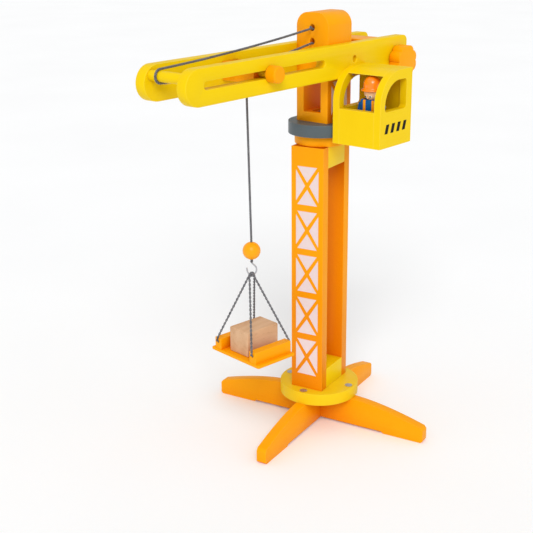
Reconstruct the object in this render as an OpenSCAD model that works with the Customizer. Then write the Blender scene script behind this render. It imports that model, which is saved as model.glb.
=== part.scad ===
// Toy tower crane: a cross foot, a tower of two boards, and slewing upper works with a slotted jib,
// a cord-driven trolley, a hoist line with a ball, a hook and a slung platform, and a cab with a driver.
// Origin: on the floor under the slewing axis. +Z is up, the jib points along -X, the cab is on the -Y side.

/* [Wood and cord] */
// Thickness of the foot, tower and jib boards
board_t = 10; // [9:0.5:11]
// Diameter of the twisted cord
cord_d = 2.2; // [1.6:0.1:2.4]
// Diameter of the winch axle and the trolley axle
axle_d = 6.9; // [5.9:0.1:6.9]

/* [Base] */
// Distance from the slewing axis to the tip of a foot
foot_reach = 117; // [105:1:130]
// Height of a foot board at the middle
foot_h = 30; // [28:1:34]
// Height of a foot board at its tip
foot_tip_h = 15; // [12:1:20]
// Length of the pad at the end of a foot
foot_pad_l = 42; // [30:1:50]
// Diameter of the base disc
base_disc_d = 79; // [76:1:90]
// Thickness of the base disc
base_disc_h = 12; // [10:1:14]
// Turn of the feet and the tower under the jib, in degrees
base_yaw = 9.6; // [0:0.2:20]

/* [Tower] */
// Width of the tower boards and of the spacer blocks
tower_w = 34; // [32:1:36]
// Height of the tower boards
tower_h = 246; // [220:1:260]
// Height of a spacer block
spacer_h = 20.5; // [18:0.5:24]

/* [Slewing joint] */
// Diameter of the fixed collar on the tower
collar_d = 50; // [46:1:54]
// Thickness of the collar
collar_h = 10; // [8:0.5:11]
// Diameter of the turntable disc
turntable_d = 62; // [58:1:66]
// Thickness of the turntable disc
turntable_h = 11.5; // [10:0.5:12]
// Diameter of the slewing bolt
bolt_d = 6; // [5:0.5:6]

/* [Head] */
// Width and depth of the head block
head_w = 36; // [36:0.5:38]
// Distance from the slewing axis to the rear face of the head
head_rear = 22; // [20:0.5:22]
// Height of the head block at its crown
head_h = 100; // [99:0.5:106]
// Diameter of the holes for the drawcord in the head
cord_hole_d = 5.5; // [4:0.5:6]

/* [Jib] */
// Distance from the slewing axis to the tip of the jib
jib_reach = 208.5; // [200:0.5:215]
// Distance from the slewing axis to the tail of the jib
jib_tail = 100.5; // [100:0.5:106]
// Height of the jib boards
jib_h = 30; // [30:0.5:32]
// Height of the jib boards above the turntable
jib_rise = 42; // [41:0.5:44]
// Diameter of the dowel that turns the drawcord at the tip
tip_dowel_d = 9; // [8:0.5:10]

/* [Trolley and hoist] */
// Distance from the slewing axis to the trolley axle
trolley_x = 107; // [100:1:120]
// Height of the middle of the hook ball above the floor
ball_z = 205.4; // [202:0.2:216]
// Diameter of the hook ball
ball_d = 16.4; // [14:0.2:18]
// Height from the platform plate's underside to the middle of the hook ball
hang_h = 100; // [98:0.2:104]
// Length of the platform along the rails
platform_l = 46; // [44:1:52]
// Width of the platform across the rails
platform_w = 66; // [64:1:68]
// Turn of the hanging load about the hoist line, in degrees
hang_yaw = -7.4; // [-10:0.2:10]

/* [Cab] */
// Length of the cab along the jib
cab_l = 50; // [48:1:52]
// Width of the cab across the jib
cab_w = 52; // [51:1:56]
// Height of the cab
cab_h = 68; // [67:1:70]
// Radius of the arched front of the cab
cab_arch_r = 30; // [28:1:31]

/* [Hidden] */

$fn = 96;

yellow = [0.96, 0.82, 0.10];
orange = [1.00, 0.60, 0.05];
grey = [0.42, 0.46, 0.50];
steel = [0.75, 0.75, 0.77];
cord_grey = [0.36, 0.35, 0.35];
beech = [0.82, 0.66, 0.50];
blue = [0.05, 0.35, 0.65];
skin = [0.88, 0.72, 0.55];

run_gap = 0.05;         // radial clearance of a turning or sliding fit
touch_gap = 0.02;       // clearance of parts that only touch
cut = 1;                // how far a cutter runs past a face
bend = 1.08;            // a ball at a cord's bend, over the cord's diameter
bend_trim = 0.18;       // the legs stop this far short of the bend, over the cord's diameter

// levels
disc_z = foot_h;
tower_z = disc_z + base_disc_h;
tower_top = tower_z + tower_h;
turntable_z = tower_top + collar_h;
head_z = turntable_z + turntable_h;
jib_z = head_z + jib_rise;
jib_mid = jib_z + jib_h / 2;
head_top = head_z + head_h;

// across the jib
jib_in = head_w / 2;
jib_out = jib_in + board_t;

// base screws
screw_d = 3.5;
screw_head_d = 7.4;
screw_head_h = 2.4;
foot_screw_r = 33.5;
foot_screw_l = 26;
foot_relief = 2;        // the underside is raised this much between the pads
tip_chamfer = 2;
foot_curve = 1.6;       // exponent of the fall of a foot's top edge

// tower
board_x = tower_w / 2;  // inner face of a tower board
tower_screw_at = 11;
tower_screw_l = 28;
dowel_d = 5;
dowel_l = 14;
dowel_up = [6, 14.5];   // heights of the dowels in a spacer block

// slewing bolt
bolt_head_d = 12;
bolt_head_h = 4;
washer_d = 15;
washer_h = 1.2;
nut_d = 11;
nut_h = 5;
turntable_screw_y = 14;
turntable_screw_l = 24;

// head
head_front = head_w - head_rear;   // front face at -head_front
crown_r = 12.5;         // round corners at the top of the head
window_w = 20;
window_floor = 9;
window_top = jib_z + 5;
nut_recess_d = washer_d + 1;
cord_in_z = [head_top - 13.4, head_top - 25.6];   // the drawcord's holes at the head's front
cord_out_z = [head_z + 64.5, head_z + 52.5];      // and at its rear
cord_drop = 1.1;        // the cord lies this far under the middle of its hole

// jib
slot_d = axle_d + 2 * run_gap;
slot_z = jib_mid + 1;
slot_tip = 188;
slot_root = 31;
tail_r = 6;
pin_d = 6.4;
pin_l = 15;
pin_recess = 3;
pin_at = [[13.8, jib_mid + 0.6], [11, jib_z + 5]];
tip_dowel_x = -(jib_reach - 8.5);
tip_dowel_z = jib_mid + 7;
tip_r = tip_dowel_d / 2 + cord_d / 2 + touch_gap;   // drawcord's turn round the tip dowel

// winch
winch_x = 84.5;
winch_z = jib_z + 6.5;
drum_d = 12;
drum_wall = 0.5;        // side play of the drum and the carriage between the boards
windings_w = 12;
windings_r = drum_d / 2 + cord_d;
crank_r = 15.6;         // to the tip of a lobe
crank_lobes = 8;
crank_lobe_r = 6.5;
crank_t = 12;
knob_gap = 0.4;         // between a knob and the board beside it
cap_d = 14;
cap_h = 6;
crank_skin = 3;         // wood left in front of the winch axle in the crank
cap_skin = 2;

// trolley
trolley_knob_d = 14.6;
trolley_knob_l = 10;
knob_edge_r = 1.5;
knob_bore_l = 7.5;
carriage_l = 19;
carriage_h = 16;
pocket_l = 13;          // the room in the carriage for the hoist windings
pocket_w = 13;
hoist_windings_w = 11;
tie_z = slot_z + 2;    // height of the drawcord's knots on the carriage
tie_d = 4.6;
tie_l = 2;
tie_bore_l = 2.5;
hoist_r = axle_d / 2 + cord_d / 2;
hoist_x = -trolley_x + hoist_r;
hoist_y = 0;
windings_top_gap = 4.8; // the hoist cord starts this far under the axle's middle

// hook
knot_d = 3.2;
knot_l = 4;
stem_d = 1.4;
ring_r = 4.2;
ball_bottom = ball_z - ball_d / 2;
knot_top = ball_bottom + 0.5;      // a small flat under the ball
ring_z = knot_top - knot_l - 0.9 - ring_r;
ring_gap = 70;          // degrees left open in the hook
ring_turn = -49;        // the plane of the hook about the hoist line
sling_loop_r = 2.2;
sling_knot_r = 2.8;

// platform
plate_z = ball_z - hang_h;
plate_t = 3;
rail_w = 8.2;
rail_h = 10.8;
rail_y = 24;
rail_l = platform_l - 2;
rope_z = plate_z + plate_t + 6.8;
rope_bore_l = 9;
rope_out = cord_d / 2 + 0.2;       // a rope runs this far in front of the rail's end face
plate_r = 2;
block_l = 38;
block_w = 25;
block_h = 24;
block_at = [2.5, 1];    // the block stands a little off the platform's middle

// cab
cab_z = head_z - 15.5;
cab_x = -19;
cab_y = -jib_out;
inner_t = 7;
outer_t = 7;
cab_in = cab_y - inner_t;
cab_out = cab_y - cab_w + outer_t;
panel_t = 6;
back_t = 6;
roof_t = 5;
floor_t = 4;
sill_z = cab_z + 32.5;
frame_w = 9;            // width of the cab's frame behind a window
window_r = 3;
window_arch_r = 22.3;
cab_screw_at = [[cab_x + 22, cab_z + 62.5], [cab_x + cab_l - 5, cab_z + 62.5]];
cab_screw_l = 15;
cab_screw_d = 3;
cab_screw_head_d = 6;
arch_c = [cab_x + cab_arch_r, cab_z + cab_h - cab_arch_r];
window_c = arch_c - [0.6, 1];   // middle of the window's own arch

// driver
driver = [cab_x + 18.5, cab_in - 23, cab_z + floor_t];
body_w = 19;
body_d = 11;
body_h = 36.5;
leg_h = 14;
leg_w = 8.2;
shoulder_h = 31;
head_r = 7;
head_mid = 6.2;         // height of the middle of the round head above the body
head_tall = 11;
neck_r = 3.6;
neck_l = 2;
helmet_r = 8;
brim_r = 10;
brim_t = 1.8;
dome_z = 5.6;           // the dome is a half ball above this height
arm_d = 4.8;
arm_l = 12;
arm_tilt = 15;
arm_gap = 0.3;
pin_r = 1.5;

// ---- shared shapes ----

// a flat shape drawn in X and Z, with its far face at y and its thickness towards -Y
module slab(y, t) {
    translate([0, y, 0]) rotate([90, 0, 0]) linear_extrude(t) children();
}

// a rod along the points of a path, with a ball a little wider than itself at each bend
module cord(path, d = cord_d) {
    last = len(path) - 2;
    for (i = [0 : last]) {
        leg = path[i + 1] - path[i];
        reach = norm(leg);
        start = i > 0 ? bend_trim * d : 0;
        end = i < last ? bend_trim * d : 0;
        translate(path[i] + leg * start / reach)
            rotate([0, acos(leg[2] / reach), atan2(leg[1], leg[0])])
                cylinder(d = d, h = reach - start - end, $fn = 24);
    }
    if (len(path) > 2)
        for (i = [1 : len(path) - 2])
            bend_ball(path[i], path[i] - path[i - 1], path[i + 1] - path[i], d);
}

// its pole is square to both legs, and its seam faces the outside of the bend
module bend_ball(at, leg_in, leg_out, d) {
    pole = cross(leg_in, leg_out) / norm(cross(leg_in, leg_out));
    away = leg_in / norm(leg_in) - leg_out / norm(leg_out);
    seam = away / norm(away);
    side = cross(pole, seam);
    multmatrix([for (i = [0 : 2]) [seam[i], side[i], pole[i], at[i]]])
        sphere(d = bend * d, $fn = 24);
}

// a wood screw pointing down, its head's top at the origin
module screw(l, d = screw_d, head_d = screw_head_d) {
    translate([0, 0, -screw_head_h]) cylinder(d1 = d, d2 = head_d, h = screw_head_h);
    translate([0, 0, -l]) cylinder(d = d, h = l - screw_head_h);
}

// the room that a screw takes in the wood
module screw_hole(l, d = screw_d, head_d = screw_head_d) {
    grow = 2 * touch_gap;
    translate([0, 0, -screw_head_h])
        cylinder(d1 = d + grow, d2 = head_d + grow, h = screw_head_h + touch_gap);
    translate([0, 0, -l - touch_gap]) cylinder(d = d + grow, h = l);
    translate([0, 0, 0]) cylinder(d = head_d + grow, h = cut);
}

// four places at quarter turns
module quarters() {
    for (a = [0 : 90 : 270]) rotate([0, 0, a]) children();
}

module at_base() {
    rotate([0, 0, base_yaw]) children();
}

// ---- base ----

function foot_top(r) =
    let (start = base_disc_d / 2, f = max(0, (r - start) / (foot_reach - start)))
    foot_h - (foot_h - foot_tip_h) * pow(f, foot_curve);

foot_steps = 14;
foot_edge = [for (i = [0 : foot_steps])
    let (r = base_disc_d / 2 + (foot_reach - tip_chamfer - base_disc_d / 2) * i / foot_steps)
    [r, foot_top(r)]];
foot_half = concat(
    [[foot_reach - foot_pad_l - foot_relief, foot_relief],
     [foot_reach - foot_pad_l, 0], [foot_reach - tip_chamfer, 0], [foot_reach, tip_chamfer],
     [foot_reach, foot_tip_h - tip_chamfer]],
    [for (i = [foot_steps : -1 : 0]) foot_edge[i]]);
foot_outline = concat(foot_half, [for (i = [len(foot_half) - 1 : -1 : 0])
    [-foot_half[i][0], foot_half[i][1]]]);

module foot_board() {
    translate([0, board_t / 2, 0]) rotate([90, 0, 0]) linear_extrude(board_t)
        polygon(foot_outline);
}

module foot_screw_places() {
    quarters() translate([foot_screw_r, 0, tower_z]) children();
}

// the long board runs through under the half lap, the cross board sits over it
module cross_foot_long() {
    color(orange) at_base() difference() {
        foot_board();
        translate([0, 0, foot_h]) cube([board_t, board_t + 2 * cut, foot_h], center = true);
        foot_screw_places() screw_hole(foot_screw_l);
    }
}

module cross_foot_cross() {
    color(orange) at_base() difference() {
        rotate([0, 0, 90]) foot_board();
        translate([0, 0, 0]) cube([board_t + 2 * cut, board_t, foot_h], center = true);
        foot_screw_places() screw_hole(foot_screw_l);
    }
}

module tower_screw_places() {
    for (s = [-1, 1]) translate([s * tower_screw_at, s * tower_screw_at, disc_z])
        rotate([180, 0, 0]) children();
}

module base_disc() {
    color(yellow) at_base() difference() {
        translate([0, 0, disc_z]) cylinder(d = base_disc_d, h = base_disc_h);
        foot_screw_places() screw_hole(foot_screw_l);
        tower_screw_places() screw_hole(tower_screw_l);
    }
}

module base_screws() {
    color(steel) at_base() {
        foot_screw_places() screw(foot_screw_l);
        tower_screw_places() screw(tower_screw_l);
    }
}

// ---- tower ----

// s is -1 for the front board, on the jib's tip side, and 1 for the back board
module tower_board(s) {
    color(orange) at_base() difference() {
        translate([s * (board_x + board_t / 2) - board_t / 2, -tower_w / 2, tower_z])
            cube([board_t, tower_w, tower_h]);
        tower_dowel_shapes(2 * touch_gap);
    }
}

module tower_board_front() { tower_board(-1); }

module tower_board_back() { tower_board(1); }

module tower_dowel_shapes(grow = 0) {
    for (s = [-1, 1], z0 = [tower_z, tower_top - spacer_h], up = dowel_up)
        translate([s * board_x, 0, z0 + up]) rotate([0, 90, 0])
            cylinder(d = dowel_d + grow, h = dowel_l + grow, center = true);
}

module tower_dowels() {
    color(beech) at_base() tower_dowel_shapes();
}

module spacer_block(z) {
    translate([-board_x, -tower_w / 2, z]) cube([tower_w, tower_w, spacer_h]);
}

module tower_block_bottom() {
    color(yellow) at_base() difference() {
        spacer_block(tower_z);
        tower_dowel_shapes(2 * touch_gap);
        tower_screw_places() screw_hole(tower_screw_l);
    }
}

module tower_block_top() {
    color(yellow) at_base() difference() {
        spacer_block(tower_top - spacer_h);
        tower_dowel_shapes(2 * touch_gap);
        cylinder(d = bolt_d + 2 * touch_gap, h = head_top);
    }
}

// ---- slewing joint ----

module collar_disc() {
    color(orange) translate([0, 0, tower_top]) difference() {
        cylinder(d = collar_d, h = collar_h);
        translate([0, 0, -cut]) cylinder(d = bolt_d + 2 * touch_gap, h = collar_h + 2 * cut);
    }
}

nut_z = head_z + 1.6;

module slew_bolt() {
    under = tower_top - spacer_h;
    color(steel) translate([0, 0, under]) {
        cylinder(d = bolt_d, h = nut_z + washer_h + nut_h + 0.5 - under);
        translate([0, 0, -bolt_head_h]) cylinder(d = bolt_head_d, h = bolt_head_h);
    }
}

module slew_washer() {
    color(steel) translate([0, 0, nut_z]) difference() {
        cylinder(d = washer_d, h = washer_h);
        translate([0, 0, -cut]) cylinder(d = bolt_d + 2 * touch_gap, h = washer_h + 2 * cut);
    }
}

module slew_nut() {
    color(steel) translate([0, 0, nut_z + washer_h]) difference() {
        cylinder(d = nut_d, h = nut_h, $fn = 6);
        translate([0, 0, -cut]) cylinder(d = bolt_d + 2 * touch_gap, h = nut_h + 2 * cut);
    }
}

module turntable_screw_places() {
    for (s = [-1, 1]) translate([4, s * turntable_screw_y, turntable_z])
        rotate([180, 0, 0]) children();
}

module turntable_disc() {
    color(grey) difference() {
        translate([0, 0, turntable_z]) cylinder(d = turntable_d, h = turntable_h);
        translate([0, 0, turntable_z - cut])
            cylinder(d = bolt_d + 2 * run_gap, h = turntable_h + 2 * cut);
        turntable_screw_places() screw_hole(turntable_screw_l);
    }
}

module turntable_screws() {
    color(steel) turntable_screw_places() screw(turntable_screw_l);
}

// ---- head and jib ----

// the drawcord's two holes fall towards the rear; i is 0 for the upper one
function cord_way(i) = [head_w, 0, cord_out_z[i] - cord_in_z[i]];
function cord_step(i) = cord_way(i) / norm(cord_way(i));
function cord_in(i) = [-head_front, 0, cord_in_z[i] - cord_drop];
function cord_out(i) = [head_rear, 0, cord_out_z[i] - cord_drop];

module cord_holes() {
    for (i = [0, 1]) translate([-head_front, 0, cord_in_z[i]])
        rotate([0, 90 + atan2(cord_in_z[i] - cord_out_z[i], head_w), 0])
            translate([0, 0, -4 * cut]) cylinder(d = cord_hole_d, h = norm(cord_way(i)) + 8 * cut);
}

module jib_pin_places() {
    for (s = [-1, 1], p = pin_at) translate([p[0], s * (jib_out - pin_recess), p[1]])
        rotate([s * 90, 0, 0]) children();
}

// the head's outline in Y and Z, with a half round crown
module head_outline() {
    translate([-head_w / 2, 0]) square([head_w, head_h - crown_r]);
    translate([crown_r - head_w / 2, 0]) square([head_w - 2 * crown_r, head_h]);
    for (s = [-1, 1]) translate([s * (head_w / 2 - crown_r), head_h - crown_r]) circle(r = crown_r);
}

module head_block() {
    color(orange) difference() {
        translate([-head_front, 0, head_z]) rotate([90, 0, 90]) linear_extrude(head_w)
            head_outline();
        translate([-head_front - cut, -window_w / 2, head_z + window_floor])
            cube([head_w + 2 * cut, window_w, window_top - head_z - window_floor]);
        cylinder(d = bolt_d + 2 * run_gap, h = window_top);
        translate([0, 0, nut_z - run_gap]) cylinder(d = nut_recess_d, h = window_floor);
        cord_holes();
        turntable_screw_places() screw_hole(turntable_screw_l);
        jib_pin_places() cylinder(d = pin_d + 2 * touch_gap, h = pin_l + touch_gap);
    }
}

module jib_outline() {
    translate([-jib_reach + jib_h / 2, jib_mid]) circle(d = jib_h);
    translate([-jib_reach + jib_h / 2, jib_z]) square([jib_reach + jib_tail - jib_h / 2 - tail_r, jib_h]);
    translate([jib_tail - tail_r - cut, jib_z]) square([tail_r + cut, jib_h - tail_r]);
    translate([jib_tail - tail_r, jib_z + jib_h - tail_r]) circle(r = tail_r);
}

module jib_slot() {
    for (x = [-slot_tip + slot_d / 2, -slot_root - slot_d / 2])
        translate([x, slot_z]) circle(d = slot_d);
    translate([-slot_tip + slot_d / 2, slot_z - slot_d / 2])
        square([slot_tip - slot_root - slot_d, slot_d]);
}

// y is the board's far face
module jib_board(y) {
    color(yellow) difference() {
        slab(y, board_t) jib_outline();
        slab(y + cut, board_t + 2 * cut) jib_slot();
        slab(y + cut, board_t + 2 * cut) translate([winch_x, winch_z])
            circle(d = axle_d + 2 * run_gap);
        translate([tip_dowel_x, 0, tip_dowel_z]) rotate([90, 0, 0])
            cylinder(d = tip_dowel_d + 2 * touch_gap, h = 2 * (jib_in + board_t / 2 + touch_gap),
                     center = true);
        jib_pin_places() translate([0, 0, -pin_recess - cut])
            cylinder(d = pin_d + 2 * touch_gap, h = pin_l + cut);
        cab_screw_places() screw_hole(cab_screw_l, cab_screw_d, cab_screw_head_d);
    }
}

module jib_board_near() { jib_board(-jib_in); }

module jib_board_far() { jib_board(jib_out); }

module jib_pins() {
    color(yellow) jib_pin_places() cylinder(d = pin_d, h = pin_l);
}

module tip_dowel() {
    color(yellow) translate([tip_dowel_x, 0, tip_dowel_z]) rotate([90, 0, 0])
        cylinder(d = tip_dowel_d, h = 2 * jib_in + board_t, center = true);
}

// the block that stiffens the tail, open underneath for the two runs of the drawcord
tail_block_x = 40;
tail_block_l = 26;
tail_channel_w = 10;
tail_channel_h = 24;

module counterweight_block() {
    color(orange) translate([tail_block_x, 0, jib_z]) difference() {
        translate([0, -jib_in, 0]) cube([tail_block_l, 2 * jib_in, jib_h]);
        translate([-cut, -tail_channel_w / 2, -cut])
            cube([tail_block_l + 2 * cut, tail_channel_w, tail_channel_h + cut]);
    }
}

// ---- drawcord ----

tip_y = 8;              // the drawcord's place on the tip dowel

module drawcord_upper() {
    over = [tip_dowel_x + 0.3, tip_y, tip_dowel_z + tip_r];
    color(cord_grey) cord([cord_out(0) - 2 * cord_step(0), cord_in(0) - cord_step(0), over]);
}

// the half turn round the tip dowel
module drawcord_turn() {
    color(cord_grey) translate([tip_dowel_x, tip_y, tip_dowel_z]) rotate([90, 0, 0])
        rotate([0, 0, 90]) rotate_extrude(angle = 180) translate([tip_r, 0])
            circle(d = cord_d, $fn = 24);
}

// the two runs from the head to the winch drum
drum_clear = windings_r + cord_d / 2 + touch_gap;

module drawcord_rear_upper() {
    color(cord_grey) cord([cord_out(0), [winch_x - 4, -3, winch_z + drum_clear + 1]]);
}

module drawcord_rear_lower() {
    color(cord_grey) cord([cord_in(1) + cord_step(1), cord_out(1) - cord_step(1),
                           [winch_x - 7, 3, winch_z - drum_clear + 0.5]]);
}

tie_x = carriage_l / 2 + tie_l;

module drawcord_return() {
    color(cord_grey) cord([[tip_dowel_x + 0.2, tip_y, tip_dowel_z - tip_r],
                           [-trolley_x - tie_x - 0.2, 0, tie_z]]);
}

module drawcord_inner() {
    color(cord_grey) cord([[-trolley_x + tie_x + 0.2, 0, tie_z],
                           cord_in(1) - cord_step(1) / 2]);
}

// the knots that tie the drawcord's two ends to the carriage, each with its end let into a hole
module drawcord_knots() {
    color(cord_grey) for (s = [-1, 1]) translate([-trolley_x + s * carriage_l / 2, 0, tie_z])
        rotate([0, s * 90, 0]) {
            cylinder(d = tie_d, h = tie_l, $fn = 48);
            translate([0, 0, -tie_bore_l + 0.2]) cylinder(d = cord_d, h = tie_bore_l, $fn = 48);
        }
}

module drawcord_windings() {
    color(cord_grey) translate([winch_x, windings_w / 2, winch_z]) rotate([90, 0, 0]) difference() {
        cylinder(r = windings_r, h = windings_w);
        translate([0, 0, -cut]) cylinder(d = drum_d + 2 * touch_gap, h = windings_w + 2 * cut);
    }
}

// ---- winch ----

module along_y(x, z, y0, y1) {
    translate([x, y1, z]) rotate([90, 0, 0]) linear_extrude(y1 - y0) children();
}

module winch_axle() {
    color(yellow) along_y(winch_x, winch_z, -jib_out - knob_gap - crank_t + crank_skin,
                          jib_out + knob_gap + cap_h - cap_skin) circle(d = axle_d);
}

module winch_drum() {
    color(orange) along_y(winch_x, winch_z, -jib_in + drum_wall, jib_in - drum_wall) difference() {
        circle(d = drum_d);
        circle(d = axle_d + 2 * touch_gap);
    }
}

module crank_outline() {
    circle(r = crank_r - crank_lobe_r);
    for (i = [0 : crank_lobes - 1]) rotate(360 * (i + 0.5) / crank_lobes)
        translate([crank_r - crank_lobe_r, 0]) circle(r = crank_lobe_r, $fn = 48);
}

module crank_knob() {
    y = -jib_out - knob_gap;
    color(orange) difference() {
        along_y(winch_x, winch_z, y - crank_t, y) crank_outline();
        along_y(winch_x, winch_z, y - crank_t + crank_skin - touch_gap, y + cut)
            circle(d = axle_d + 2 * touch_gap);
    }
}

module winch_end_cap() {
    y = jib_out + knob_gap;
    color(orange) difference() {
        along_y(winch_x, winch_z, y, y + cap_h) circle(d = cap_d);
        along_y(winch_x, winch_z, y - cut, y + cap_h - cap_skin + touch_gap)
            circle(d = axle_d + 2 * touch_gap);
    }
}

// ---- trolley ----

module trolley_axle() {
    half = jib_out + knob_gap + knob_bore_l;
    color(yellow) along_y(-trolley_x, slot_z, -half, half) circle(d = axle_d);
}

module trolley_knob(s) {
    y = jib_out + knob_gap;
    color(orange) translate([-trolley_x, s * y, slot_z]) rotate([-s * 90, 0, 0]) difference() {
        rotate_extrude() difference() {
            union() {
                square([trolley_knob_d / 2, trolley_knob_l - knob_edge_r]);
                square([trolley_knob_d / 2 - knob_edge_r, trolley_knob_l]);
                translate([trolley_knob_d / 2 - knob_edge_r, trolley_knob_l - knob_edge_r])
                    circle(r = knob_edge_r, $fn = 32);
            }
            translate([-trolley_knob_d, 0]) square([trolley_knob_d, trolley_knob_l]);
        }
        translate([0, 0, -cut]) cylinder(d = axle_d + 2 * touch_gap, h = knob_bore_l + cut + touch_gap);
    }
}

module trolley_knob_near() { trolley_knob(-1); }

module trolley_knob_far() { trolley_knob(1); }

// the carriage rides on the axle between the boards, and its pocket holds the hoist windings
module trolley_carriage() {
    half = jib_in - drum_wall;
    color(orange) translate([-trolley_x, 0, slot_z]) difference() {
        translate([-carriage_l / 2, -half, -carriage_h / 2]) cube([carriage_l, 2 * half, carriage_h]);
        translate([-pocket_l / 2, -pocket_w / 2, -carriage_h / 2 - cut])
            cube([pocket_l, pocket_w, carriage_h + 2 * cut]);
        rotate([90, 0, 0])
            cylinder(d = axle_d + 2 * run_gap, h = 2 * half + 2 * cut, center = true);
        for (s = [-1, 1]) translate([s * (carriage_l / 2 + cut), 0, tie_z - slot_z])
            rotate([0, -s * 90, 0])
                cylinder(d = cord_d + 2 * touch_gap, h = tie_bore_l + cut, $fn = 48);
    }
}

module hoist_windings() {
    color(cord_grey) along_y(-trolley_x, slot_z, -hoist_windings_w / 2, hoist_windings_w / 2)
        difference() {
            circle(r = hoist_r + cord_d / 2);
            circle(d = axle_d + 2 * touch_gap);
        }
}

// ---- hoist line and hook ----

module at_hoist() {
    translate([hoist_x, hoist_y, 0]) children();
}

ball_bore_d = cord_d + 2 * touch_gap;

module hoist_cord() {
    color(cord_grey) at_hoist() translate([0, 0, ball_z + 2])
        cylinder(d = cord_d, h = slot_z - windings_top_gap - ball_z - 2, $fn = 24);
}

module hook_ball() {
    color(orange) at_hoist() difference() {
        translate([0, 0, ball_z]) sphere(d = ball_d);
        translate([0, 0, ball_z + 2 - touch_gap]) cylinder(d = ball_bore_d, h = ball_d);
        translate([0, 0, ball_z - 2 - ball_d]) cylinder(d = stem_d + 2 * run_gap, h = ball_d, $fn = 48);
        translate([0, 0, knot_top]) rotate([180, 0, 0]) cylinder(d = ball_d, h = ball_d);
    }
}

module hook_knot() {
    color(cord_grey) at_hoist() difference() {
        translate([0, 0, knot_top - knot_l]) cylinder(d = knot_d, h = knot_l, $fn = 48);
        translate([0, 0, knot_top - knot_l - cut])
            cylinder(d = stem_d + 2 * run_gap, h = knot_l + 2 * cut, $fn = 48);
    }
}

// an open wire hook on a stem that turns in the ball
module hook_wire() {
    color(steel) at_hoist() translate([0, 0, ring_z]) rotate([0, 0, ring_turn]) {
        rotate([90, 0, 0]) rotate([0, 0, 90 + ring_gap])
            rotate_extrude(angle = 360 - ring_gap) translate([ring_r, 0])
                circle(d = stem_d, $fn = 24);
        translate([0, 0, ring_r])
            cylinder(d = stem_d, h = ball_z - 2.2 - ring_z - ring_r, $fn = 48);
    }
}

// ---- platform ----

module at_load() {
    at_hoist() rotate([0, 0, hang_yaw]) children();
}

sling_top = ring_z - ring_r + stem_d / 2 + touch_gap + cord_d / 2 - sling_loop_r;

module sling_ropes() {
    knot_z = sling_top - sling_loop_r - 1;
    out_x = rail_l / 2 + rope_out;
    color(cord_grey) at_load() {
        translate([0, 0, sling_top]) rotate([0, 0, ring_turn - hang_yaw + 90]) rotate([90, 0, 0])
            rotate_extrude() translate([sling_loop_r, 0]) circle(d = cord_d, $fn = 24);
        translate([0, 0, knot_z]) sphere(r = sling_knot_r, $fn = 48);
        for (sx = [-1, 1], sy = [-1, 1])
            cord([[sx * (rail_l / 2 - rope_bore_l + 1), sy * rail_y, rope_z],
                  [sx * out_x, sy * rail_y, rope_z],
                  [sx * out_x, sy * rail_y, plate_z + plate_t + rail_h + 1],
                  [sx * 0.8, sy * 0.8, knot_z]]);
    }
}

module platform_plate() {
    color(orange) at_load() translate([0, 0, plate_z]) linear_extrude(plate_t) {
        square([platform_l - 2 * plate_r, platform_w], center = true);
        square([platform_l, platform_w - 2 * plate_r], center = true);
        for (sx = [-1, 1], sy = [-1, 1])
            translate([sx * (platform_l / 2 - plate_r), sy * (platform_w / 2 - plate_r)])
                circle(r = plate_r, $fn = 48);
    }
}

module platform_rail(s) {
    color(orange) at_load() difference() {
        translate([-rail_l / 2, s * rail_y - rail_w / 2, plate_z + plate_t])
            cube([rail_l, rail_w, rail_h]);
        for (e = [-1, 1]) translate([e * (rail_l / 2 + cut), s * rail_y, rope_z]) {
            rotate([0, -e * 90, 0]) cylinder(d = cord_d + 2 * touch_gap, h = rope_bore_l + cut);
        }
    }
}

module platform_rail_near() { platform_rail(-1); }

module platform_rail_far() { platform_rail(1); }

module load_block() {
    color(beech) at_load()
        translate([block_at[0] - block_l / 2, block_at[1] - block_w / 2, plate_z + plate_t])
            cube([block_l, block_w, block_h]);
}

// ---- cab ----

// the cab from the side: a box with a quarter round at its top front
module cab_outline() {
    translate([cab_x, cab_z]) square([cab_l, cab_h - cab_arch_r]);
    translate([arch_c[0], cab_z]) square([cab_l - cab_arch_r, cab_h]);
    front_arch(arch_c, cab_arch_r);
}

// a quarter round, the upper front one of a circle
module front_arch(middle, r) {
    intersection() {
        translate(middle) circle(r = r);
        translate(middle - [r, 0]) square([r, r]);
    }
}

// a window with an arch at its front and small round corners elsewhere; it starts at the sill
module cab_window() {
    x1 = cab_x + cab_l - frame_w;
    x0 = window_c[0] - window_arch_r;
    z1 = window_c[1] + window_arch_r;
    front_arch(window_c, window_arch_r);
    translate([x0, sill_z + window_r]) square([window_arch_r, window_c[1] - sill_z - window_r]);
    translate([x0 + window_r, sill_z]) square([x1 - x0 - 2 * window_r, window_r]);
    translate([window_c[0], sill_z + window_r])
        square([x1 - window_c[0], z1 - sill_z - 2 * window_r]);
    translate([window_c[0], z1 - window_r]) square([x1 - window_r - window_c[0], window_r]);
    for (p = [[x0 + window_r, sill_z + window_r], [x1 - window_r, sill_z + window_r],
              [x1 - window_r, z1 - window_r]])
        translate(p) circle(r = window_r, $fn = 48);
}

module cab_screw_places() {
    for (p = cab_screw_at) translate([p[0], cab_in, p[1]]) rotate([90, 0, 0]) children();
}

module cab_side(y, t) {
    slab(y, t) difference() {
        cab_outline();
        cab_window();
    }
}

module cab_inner_plate() {
    color(yellow) difference() {
        cab_side(cab_y, inner_t);
        cab_screw_places() screw_hole(cab_screw_l, cab_screw_d, cab_screw_head_d);
        translate([0, 0, cab_z - cut])
            cylinder(d = turntable_d + 1, h = head_z - cab_z + cut + 0.5);
    }
}

module cab_outer_plate() {
    color(yellow) cab_side(cab_out, outer_t);
}

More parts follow.
